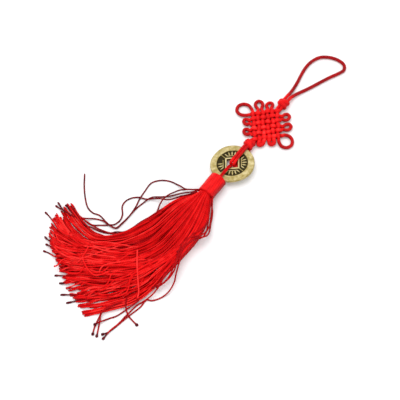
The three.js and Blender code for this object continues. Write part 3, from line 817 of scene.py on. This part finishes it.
def make_binding():
    """A sleeve of one wound thread, rounded at both ends."""
    angle = 2 * np.pi * np.arange(BINDING_SIDES) / BINDING_SIDES
    from_top = np.degrees(np.arccos(np.clip(np.sin(angle), -1, 1)))
    # painted shade, darker down its sides
    painted_side_shade = 1.0 - 0.6 * smoothstep(from_top, 34.0, 92.0)
    rows = []
    tones = []
    for y in np.arange(BINDING_BACK, BINDING_FRONT + 0.01, WINDING_STEP):
        turn = y / WINDING_PITCH + angle / (2 * np.pi)
        whole = np.floor(turn)
        ridge = np.abs(np.sin(np.pi * (turn - whole)))
        share = (y - BINDING_BACK) / (BINDING_FRONT - BINDING_BACK)
        uneven = 0.015 * np.sin(whole * 2.3) + 0.04 * np.sin(0.9 * y + 0.7 + 2 * angle)
        flare = BINDING_FLARE * share ** 3
        near_end = 1 - min(1.0, min(y - BINDING_BACK, BINDING_FRONT - y) / END_LENGTH)
        round_off = END_ROUND * near_end ** 2
        r = BINDING_OUTER + WINDING_RIDGE * ridge + (uneven + flare) - round_off
        rows.append(ring_at(y, r, angle))
        streak = 0.09 * np.sin(9 * angle + 0.4 * y) + 0.09 * np.sin(23 * angle - 0.7 * y)
        # ends: painted shade at the sleeve's rounded ends, deepest in the crease at the front edge
        ends = (0.08 + 0.18 * share) * near_end
        # 0.05 * ridge: painted shade in the grooves between turns, whose crests are lighter
        tones.append((BINDING_TONE + 0.05 * ridge + 0.03 * np.sin(whole * 1.7) + streak - ends) * painted_side_shade)
    for y in np.linspace(BINDING_FRONT, BINDING_BACK, 12):
        rows.append(ring_at(y, BINDING_INNER, angle))
        tones.append(np.full(BINDING_SIDES, INSIDE_TONE))
    bundle = Bundle()
    bundle.add(np.array(rows)[:, ::-1], np.array(tones)[:, ::-1], closed=True)
    return bundle.build("wound_binding", winding_material, "tassel_binding", lowest=0.01)


make_binding()

HEAD_RADIUS = 3.6
HEAD_TOP = 6.12
HEAD_DOME = 0.75
HEAD_SIDES = 96
HEAD_GROOVES = 26
GROOVE_DEPTH = 0.07


def make_head():
    """The rounded head of folded threads in the upper end of the binding."""
    angle = 2 * np.pi * np.arange(HEAD_SIDES) / HEAD_SIDES
    rows = []
    for share in np.linspace(0.0, 1.0, 15):
        r = max(0.02, HEAD_RADIUS * math.sin(share * math.pi / 2))
        y = HEAD_TOP - HEAD_DOME * (1 - math.cos(share * math.pi / 2))
        groove = GROOVE_DEPTH * np.cos(HEAD_GROOVES * angle) * smoothstep(share, 0.1, 0.5)
        rows.append(ring_at(y - GROOVE_DEPTH + groove, r, angle))
    for y in (4.0, 3.0):
        rows.append(ring_at(y, HEAD_RADIUS, angle))
    bundle = Bundle()
    bundle.add(np.array(rows), 0.6)
    return bundle.build("tassel_head", thread_material, "tassel", lowest=0.01)


make_head()

# Tassel

# Where the left, middle and right threads lie at each station from root to tip
FAN = [
    ((-2.2, -6.6), (0.0, -6.8), (2.2, -6.6)),
    ((-8.4, -13.4), (1.6, -21.4), (8.8, -14.6)),
    ((-13.6, -23.4), (0.8, -36.8), (12.2, -28.2)),
    ((-17.6, -36.0), (-3.4, -51.2), (12.2, -41.5)),
    ((-21.0, -48.4), (-11.2, -63.0), (11.4, -54.6)),
    ((-27.1, -58.3), (-21.2, -71.8), (11.0, -67.6)),
    ((-34.6, -62.6), (-31.4, -78.6), (8.3, -79.8)),
    ((-45.6, -61.6), (-40.6, -82.6), (0.4, -91.2)),
    ((-59.0, -56.0), (-47.6, -84.4), (-11.6, -104.6)),
]
LAYERS = 6
PER_LAYER = 44
THREAD_STEPS = 96
MASS_TONE = 0.57
LONG_TONE = 0.45
# LOOSE_TONES: the loose threads on top are lighter, a painted highlight
LOOSE_TONES = (0.72, 0.98)
ROOT_RADIUS = 3.38
ROOT_Y = -4.4  # where the threads start inside the binding
ROOT_LENGTH = 44.0  # how far a thread that never left the root's way would reach
TIPS_BRIGHTER = 0.23  # painted light: how much brighter the mass is at its tips than at its root
# How far along the fan the longest threads reach, by their place across it
REACH_ACROSS = [0.0, 0.2, 0.35, 0.5, 0.65, 0.8, 1.0]
REACH_ALONG = [1.0, 1.03, 1.0, 0.935, 0.945, 0.965, 0.975]
EDGE_BULGE = 0.075  # how far across the left edge's threads bulge out, beyond half their way
STEEP_DROP = 0.15  # how far across the threads first fall to the right before they sweep to the left
LONG_LAYER = 2  # the layer that holds the single threads that reach past the others
# Those threads: place across and how far along
LONG_THREADS = [
    (0.07, 1.055), (0.17, 1.115), (0.35, 1.055), (0.39, 1.035), (0.47, 1.06), (0.66, 0.995), (0.75, 0.985),
    (0.84, 1.01), (0.89, 1.005),
]


def on_fan(across, along):
    """Places on the fan: across it from 0 at the left to 1 at the right, and along it to the tips."""
    left, middle, right = (guide([row[k] for row in FAN], along) for k in range(3))
    a = np.asarray(across, float)[:, None] if np.ndim(across) else across
    return left * (1 - a) * (1 - 2 * a) + middle * 4 * a * (1 - a) + right * a * (2 * a - 1)


NESTING = 0.62  # share of its radius by which a soft thread holds up the next one
NESTING_BESIDE = 0.3  # the same in the cells beside it
SETTLED = 0.75  # how much of that goes where the heap is high and weighs on the threads below
CELL = 0.4
HEAP_CORNER = (-90.0, -130.0)
HEAP_SIZE = (340, 380)  # cells along x and y
PILE_STEP = 0.3
STEEPEST = 0.28  # how steeply a thread comes down from what it lies on
SOFTENING = 9  # places that a thread's height is evened out over
heap = np.zeros(HEAP_SIZE)


def heap_cells(line):
    """The cells of the heap that the line's places lie over."""
    ix = ((line[:, 0] - HEAP_CORNER[0]) / CELL).astype(int)
    iy = ((line[:, 1] - HEAP_CORNER[1]) / CELL).astype(int)
    return ix, iy


def settle(height):
    """The share of the nesting that is left at a height."""
    return 1 - SETTLED * smoothstep(height, 5.0, 8.5)


def pile(line, radius):
    """Adds a thread to the heap, so that later ones rest on it."""
    dense = evenly(line, PILE_STEP)
    ix, iy = heap_cells(dense)
    for dx in (-1, 0, 1):
        for dy in (-1, 0, 1):
            top = (NESTING if dx == dy == 0 else NESTING_BESIDE) * settle(dense[:, 2])
            np.maximum.at(heap, (ix + dx, iy + dy), dense[:, 2] + radius * top)


def rest_on_heap(flat, radius, start_z):
    """Gives a flat line its height, resting on what lies below."""
    ix, iy = heap_cells(flat)
    below = heap[ix, iy]
    need = np.maximum(radius, below + NESTING * radius * settle(below))
    need[0] = max(need[0], start_z)
    along = distances(flat)
    reach = need[None, :] - STEEPEST * np.abs(along[:, None] - along[None, :])
    z = reach.max(axis=1)
    kernel = np.hanning(SOFTENING)
    z = np.convolve(np.pad(z, SOFTENING // 2, mode="edge"), kernel / kernel.sum(), mode="valid")
    return np.column_stack([flat, np.maximum(z, radius)])


def thread_radii(count, radius, root_squeeze, knob):
    """A thread is squeezed thinner at its root and ends in a small knob."""
    share = np.linspace(0, 1, count)
    r = radius * (root_squeeze + (1 - root_squeeze) * smoothstep(share, 0.0, 0.25))
    r[-3:] = radius * knob * np.array([0.9, 1.0, 0.7])
    return r


def add_thread(bundle, line, radius, tone, root_squeeze=0.8, knob=1.4, sides=THREAD_SIDES,
               dark_tip=0.45, tip_start=0.96):
    """A thread whose tip is darker by dark_tip, beyond the share tip_start of its length, with painted shade
    on its underside.
    """
    r = thread_radii(len(line), radius, root_squeeze, knob)
    share = np.linspace(0, 1, len(line))
    tip = 1.0 - dark_tip * smoothstep(share, tip_start, tip_start + 0.025)
    bundle.add(sweep(line, r, sides=sides), np.outer(tone * tip, painted_under_shade(sides, UNDER_THREAD)))


def root_way(across, level, along):
    """Where a thread lies inside the binding and just behind it."""
    x = (2 * across - 1) * ROOT_RADIUS
    depth = math.sqrt(max(0.5, ROOT_RADIUS ** 2 - x ** 2))
    z = BINDING_Z + (2 * level - 1) * depth
    return np.column_stack([np.full(len(along), x), ROOT_Y - ROOT_LENGTH * along, np.full(len(along), z)])


def lock(across, level):
    """The locks that the threads gather in, from -1 between two of them to 1 on one."""
    return math.sin(44.0 * across + 2.4 * level + 0.8 * math.sin(17.0 * across))


def mass_thread(across, level, end, restless):
    """A thread of the tassel's mass, from inside the binding to its tip, resting on the heap."""
    own = rng.uniform(0, PHASE, 4)
    along = np.linspace(0, end, THREAD_STEPS)
    # it sways with its layer, and the more restless it is, the more it goes its own way
    sway = 0.026 * np.sin(5.0 * along + 5.0 * across + own[0] * restless)
    sway += restless * (0.036 * np.sin(7.0 * along + own[1]) + 0.013 * np.sin(17.0 * along + own[2]))
    sway += 0.005 * np.sin(43.0 * along + own[3])
    calm = 1 - np.abs(2 * across - 1) ** 3
    drop = STEEP_DROP * math.sin(np.pi * across) * np.sin(np.pi * np.clip(along / 0.85, 0, 1)) ** 2
    bulge = EDGE_BULGE * max(0.0, 1 - across / 0.12) * smoothstep(along, 0.54, 0.76)
    place = across + drop - bulge + sway * smoothstep(along, 0.03, 0.55) * calm
    leave = smoothstep(along, 0.01, 0.085)[:, None]
    root = root_way(across, level, along)
    flat = root[:, :2] * (1 - leave) + on_fan(place, along) * leave
    rest = rest_on_heap(flat, THREAD_RADIUS, 0.0)[:, 2]
    fall = smoothstep(along, 0.015, 0.2 + 0.16 * level)
    ridge = 0.45 * level * lock(across, level) * smoothstep(along, 0.02, 0.06)
    ridge = ridge * (1 - smoothstep(along, 0.1, 0.34))
    z = root[:, 2] * (1 - fall) + rest * fall + ridge
    return np.column_stack([flat, z])


# painted light towards the tips
brighter = TIPS_BRIGHTER * smoothstep(np.linspace(0, 1, THREAD_STEPS), 0.45, 0.9)
for layer in range(LAYERS):
    bundle = Bundle()
    level = layer / (LAYERS - 1)
    for number in rng.permutation(PER_LAYER):
        across = (number + 0.5 + rng.uniform(-0.4, 0.4)) / PER_LAYER
        end = np.interp(across, REACH_ACROSS, REACH_ALONG) - 0.1 * rng.random() ** 1.4
        line = mass_thread(across, level, end, 0.3 + 1.2 * level ** 1.5)
        # painted shade: lower layers and threads between locks are darker; the uniform draw is random tone
        tone = MASS_TONE + 0.1 * level + 0.1 * lock(across, level) + rng.uniform(-0.24, 0.2)
        add_thread(bundle, line, THREAD_RADIUS, tone + brighter)
        pile(line, THREAD_RADIUS)
    if layer == LONG_LAYER:
        for across, end in LONG_THREADS:
            line = mass_thread(across, level, end, 0.3)
            add_thread(bundle, line, THREAD_RADIUS, LONG_TONE, knob=1.6, dark_tip=0.85, tip_start=0.92)
            pile(line, THREAD_RADIUS)
    bundle.build(f"tassel_threads_{layer}", thread_material, "tassel")

LOOSE_COUNT = 34  # threads that wind loosely across the top of the mass
LOOSE_STEPS = 60
LOOSE_SINK = 1.4  # how deep in the mass a loose stretch begins


def loose_thread():
    """A short stretch that comes up out of the mass, winds across it and rests on it."""
    start = rng.uniform(0.36, 0.68)
    across = rng.uniform(0.2, 0.95)
    along = np.linspace(start, start + rng.uniform(0.2, 0.34), LOOSE_STEPS)
    own = rng.uniform(0, PHASE, 2)
    swing = rng.uniform(0.06, 0.17) * (1 - (2 * across - 1) ** 2)
    place = across + swing * np.sin(10.0 * along + own[0]) + 0.012 * np.sin(31.0 * along + own[1])
    line = rest_on_heap(on_fan(place, along), THREAD_RADIUS, 0.0)
    rise = smoothstep(distances(line), 0.0, 6.0)
    line[:, 2] = np.maximum(THREAD_RADIUS, line[:, 2] - LOOSE_SINK * (1 - rise))
    return line


loose = Bundle()
for number in range(LOOSE_COUNT):
    line = loose_thread()
    add_thread(loose, line, THREAD_RADIUS, rng.uniform(*LOOSE_TONES))
    pile(line, THREAD_RADIUS)
loose.build("tassel_threads_loose", thread_material, "tassel")

STRAY_STEP = 0.6
FROM_BINDING = -9.0  # a stray that starts nearer than this comes out of the binding
# Threads that stray out of the mass: their tone, the size of the knob at the tip and their way
STRAYS = [
    (0.1, 1.0, [
        (-4.2, -5.6), (-7.1, -6.9), (-11.9, -8.7), (-16.5, -8.3), (-22.3, -8.9), (-27.1, -11.6),
        (-30.1, -15.9), (-29.9, -21.9), (-29.2, -27.8), (-27.8, -33.7), (-27.2, -41.7), (-27.6, -46.8),
        (-28.2, -50.0), (-31.4, -50.7), (-35.5, -50.2), (-40.7, -49.1), (-44.4, -50.0), (-48.8, -49.1),
        (-53.9, -45.1), (-59.1, -39.5), (-64.0, -33.0)]),
    (0.12, 1.4, [
        (-4.0, -8.5), (-9.0, -14.5), (-14.5, -20.3), (-20.3, -22.4), (-25.8, -25.7), (-31.7, -28.5),
        (-34.5, -33.0), (-34.2, -37.0), (-30.7, -41.5), (-29.7, -44.9), (-30.7, -49.1), (-33.3, -51.4),
        (-36.5, -53.7), (-40.2, -56.2), (-45.4, -56.6), (-50.6, -56.6), (-55.2, -56.2), (-59.6, -55.4)]),
    (0.12, 1.4, [
        (-4.2, -6.4), (-6.9, -8.8), (-10.2, -11.1), (-15.8, -16.0), (-20.3, -19.9), (-24.6, -24.8),
        (-26.3, -29.9), (-27.0, -34.7), (-27.1, -40.2), (-27.5, -46.1), (-28.5, -50.3), (-32.4, -51.0),
        (-36.8, -50.8), (-41.3, -52.3), (-45.6, -56.0), (-50.8, -58.6), (-57.0, -58.8), (-64.2, -58.5)]),
    (0.14, 1.4, [
        (-4.2, -5.8), (-6.8, -7.4), (-10.4, -9.1), (-14.4, -12.0), (-16.6, -15.8), (-17.3, -19.8),
        (-17.3, -24.7), (-16.2, -29.5), (-17.6, -33.3), (-19.9, -39.2), (-21.5, -45.2), (-23.6, -49.5),
        (-26.8, -51.8), (-29.5, -54.7), (-33.6, -56.6), (-38.3, -57.7), (-42.1, -59.1), (-46.4, -58.7),
        (-51.0, -57.7), (-55.2, -56.5), (-59.0, -55.0)]),
    (0.3, 1.3, [
        (-13.6, -27.0), (-16.4, -33.2), (-19.0, -40.2), (-21.8, -47.4), (-25.8, -52.5), (-29.8, -54.8),
        (-34.9, -55.9), (-40.4, -56.5), (-46.1, -56.8), (-51.8, -56.0), (-56.9, -54.1)]),
    (0.42, 1.3, [
        (-13.0, -29.0), (-15.8, -34.3), (-18.6, -41.6), (-21.4, -47.9), (-25.0, -53.5), (-28.2, -56.9),
        (-31.9, -58.5), (-35.8, -59.8), (-41.5, -58.9), (-47.7, -57.4), (-54.5, -54.1)]),
    (0.6, 1.3, [
        (-15.6, -37.0), (-17.8, -42.1), (-20.7, -48.8), (-23.6, -54.5), (-27.4, -58.4), (-31.8, -60.8),
        (-36.6, -61.6), (-42.2, -60.7), (-47.8, -58.6), (-54.2, -56.3), (-58.8, -54.6)]),
    (0.32, 1.4, [
        (4.3, -5.6), (6.0, -8.6), (9.0, -12.0), (12.5, -18.5), (15.7, -24.7), (15.7, -27.6), (12.6, -32.2),
        (11.1, -37.7), (9.8, -45.8)]),
    (0.3, 1.9, [
        (4.2, -6.2), (7.0, -11.5), (11.0, -18.6), (14.4, -25.4), (14.9, -29.6), (12.0, -35.4), (11.0, -42.0),
        (12.6, -46.4), (14.1, -50.0), (16.1, -55.2), (17.6, -58.6), (18.2, -64.4), (16.5, -69.6),
        (13.6, -73.6), (11.3, -74.7), (11.1, -79.9), (9.6, -86.5), (8.6, -91.2), (7.5, -96.9), (6.3, -101.4),
        (4.2, -104.6)]),
    (0.36, 1.4, [
        (4.4, -7.0), (6.6, -11.4), (10.6, -18.6), (11.8, -25.1), (10.0, -31.8), (10.2, -38.5), (11.4, -45.7),
        (12.1, -51.2), (13.8, -57.0), (13.2, -63.0), (10.0, -68.6)]),
    (0.34, 1.4, [
        (4.4, -5.6), (7.0, -9.5), (10.8, -15.9), (13.6, -21.3), (14.3, -26.9), (11.8, -31.5), (9.4, -35.8),
        (9.3, -41.2), (11.6, -48.3), (14.2, -53.8), (14.4, -59.5), (13.2, -64.1), (11.7, -67.0)]),
    (0.34, 1.9, [
        (11.0, -58.0), (12.6, -64.0), (12.4, -71.0), (10.6, -76.4), (9.2, -79.8), (8.2, -87.0), (7.8, -94.3),
        (6.6, -100.6), (6.4, -106.4)]),
    (0.3, 1.9, [
        (2.0, -84.0), (-1.0, -89.0), (-3.0, -93.1), (-2.4, -98.7), (-1.1, -103.7), (0.7, -107.6)]),
    (0.3, 1.9, [
        (0.0, -88.0), (-2.9, -95.0), (-0.8, -99.5), (1.6, -104.2), (3.1, -107.2)]),
    (0.26, 1.9, [
        (8.6, -78.0), (7.6, -82.0), (6.1, -85.5), (4.1, -91.5), (1.6, -95.3), (-0.8, -100.0),
        (-2.4, -102.7)]),
    (0.26, 2.1, [
        (2.6, -80.6), (4.8, -84.4), (8.7, -87.6), (12.2, -88.6), (16.5, -89.4)]),
    (0.98, 1.0, [
        (-9.0, -56.0), (-5.6, -60.6), (-2.7, -64.3), (2.7, -70.7), (6.7, -75.5), (7.9, -78.7)]),
    (0.86, 1.0, [
        (-31.0, -70.0), (-30.4, -74.0), (-29.6, -77.0), (-26.5, -79.2), (-22.3, -81.1), (-17.6, -81.2),
        (-15.0, -78.8), (-13.0, -74.0)]),
]
strays = Bundle()
for tone, knob, way in STRAYS:
    flat = smooth_line(way, STRAY_STEP)
    start_z = BINDING_Z if way[0][1] > FROM_BINDING else 0.0
    line = rest_on_heap(flat, STRAY_RADIUS, start_z)
    dark_tip, tip_start = (0.85, 0.9) if knob > 1.5 else (0.45, 0.96)  # a thick knob is darker
    add_thread(strays, line, STRAY_RADIUS, tone, 1.0, knob, STRAY_SIDES, dark_tip, tip_start)
    pile(line, STRAY_RADIUS)
strays.build("tassel_strays", thread_material, "tassel")

# Floor and light

FLOOR_HALF = 2.5
corners = [(x * FLOOR_HALF, y * FLOOR_HALF, 0) for x, y in ((-1, -1), (1, -1), (1, 1), (-1, 1))]
floor_mesh = bpy.data.meshes.new("floor")
floor_mesh.from_pydata(corners, [], [(0, 1, 2, 3)])
floor = bpy.data.objects.new("floor", floor_mesh)
bpy.context.collection.objects.link(floor)
floor_graph = Graph("pale_floor")
floor_graph.shader.inputs["Base Color"].default_value = (0.93, 0.93, 0.94, 1.0)
floor_graph.shader.inputs["Roughness"].default_value = 0.9
floor_graph.shader.inputs["Specular IOR Level"].default_value = 0.1
floor_mesh.materials.append(floor_graph.material)


def area_light(name, location, size, power):
    """A round lamp that faces the charm's origin."""
    data = bpy.data.lights.new(name, "AREA")
    data.shape = "DISK"
    data.size = size
    data.energy = power
    light = bpy.data.objects.new(name, data)
    light.location = location
    light.rotation_euler = Vector(location).to_track_quat("Z", "Y").to_euler()
    bpy.context.collection.objects.link(light)


area_light("key", (-0.3, 0.15, 1.1), 1.0, 5.5)
area_light("fill", (0.5, -0.7, 0.9), 0.9, 1.5)

world = bpy.data.worlds.new("studio")
bpy.context.scene.world = world
world.use_nodes = True
backdrop = world.node_tree.nodes["Background"]
backdrop.inputs["Color"].default_value = (1.0, 1.0, 1.0, 1.0)
backdrop.inputs["Strength"].default_value = 0.95
bpy.context.scene.view_settings.view_transform = "Standard"
